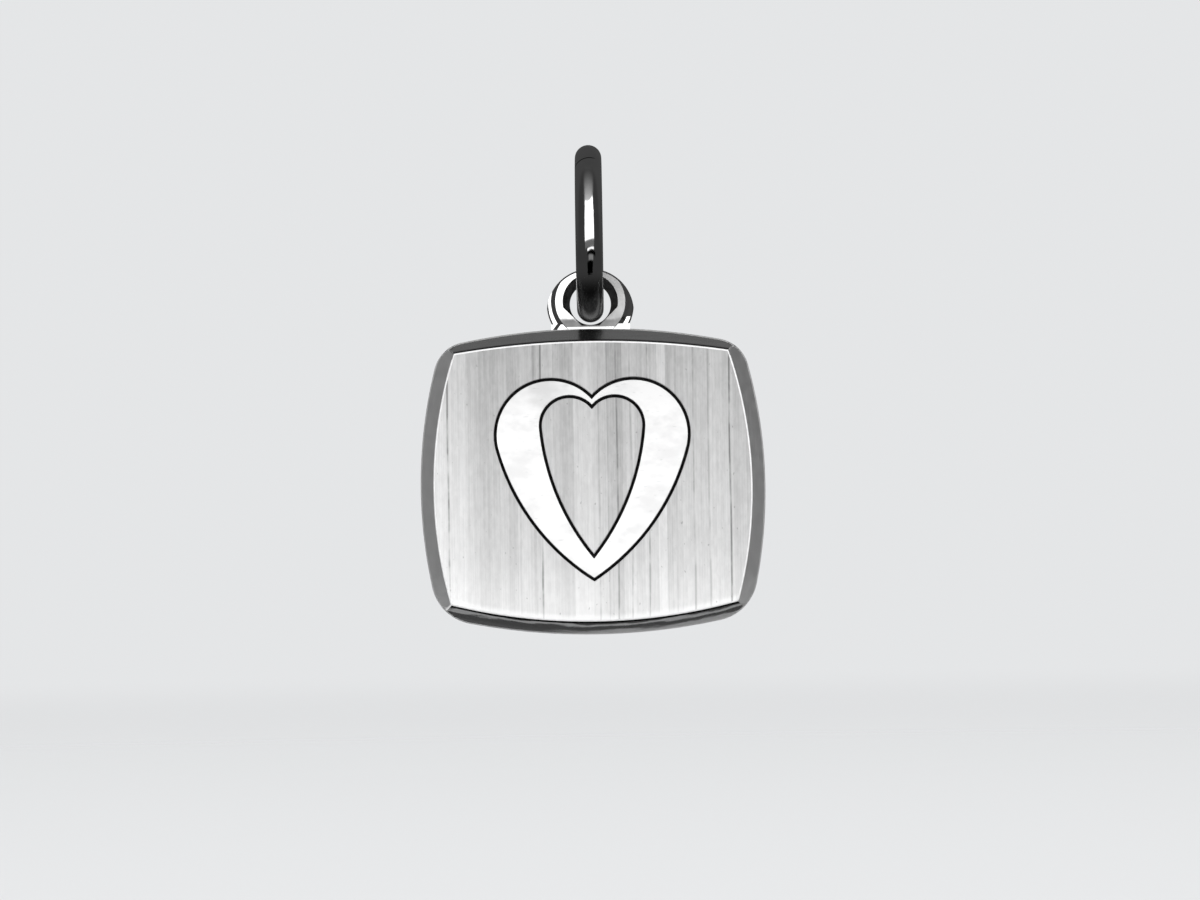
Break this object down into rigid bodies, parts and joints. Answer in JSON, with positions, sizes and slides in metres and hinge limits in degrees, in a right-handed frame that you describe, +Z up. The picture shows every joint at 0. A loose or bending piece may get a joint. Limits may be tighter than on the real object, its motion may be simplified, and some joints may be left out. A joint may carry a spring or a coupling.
{
  "type": "initial pendant",
  "caption": "Cushion-shaped silver pendant: a flat plate with a cut rim and a raised heart outline in the initial's place, a soldered eyelet and a round jump ring that takes a chain.",
  "frame": {"origin": "the inside of the jump ring's top, where a chain bears", "axes": "+Z up the pendant, -Y out of the plate's front, +X to the right as seen from the front"},
  "size_m": [0.013, 0.0066, 0.0185],
  "materials": {
    "brushed_silver": "925 silver: face line-brushed up and down, rim, heart and eyelet polished",
    "polished_silver": "925 silver, polished"
  },
  "bodies": {
    "ring": {"jump_ring": "polished_silver"},
    "plate": {"pendant_plate": "brushed_silver"}
  },
  "joints": [
    {"name": "plate_swing", "type": "hinge", "parent": "ring", "child": "plate", "pos_m": [0, 0, -0.00501], "axis": [0, 1, 0], "range_deg": [-90, 90]}
  ]
}
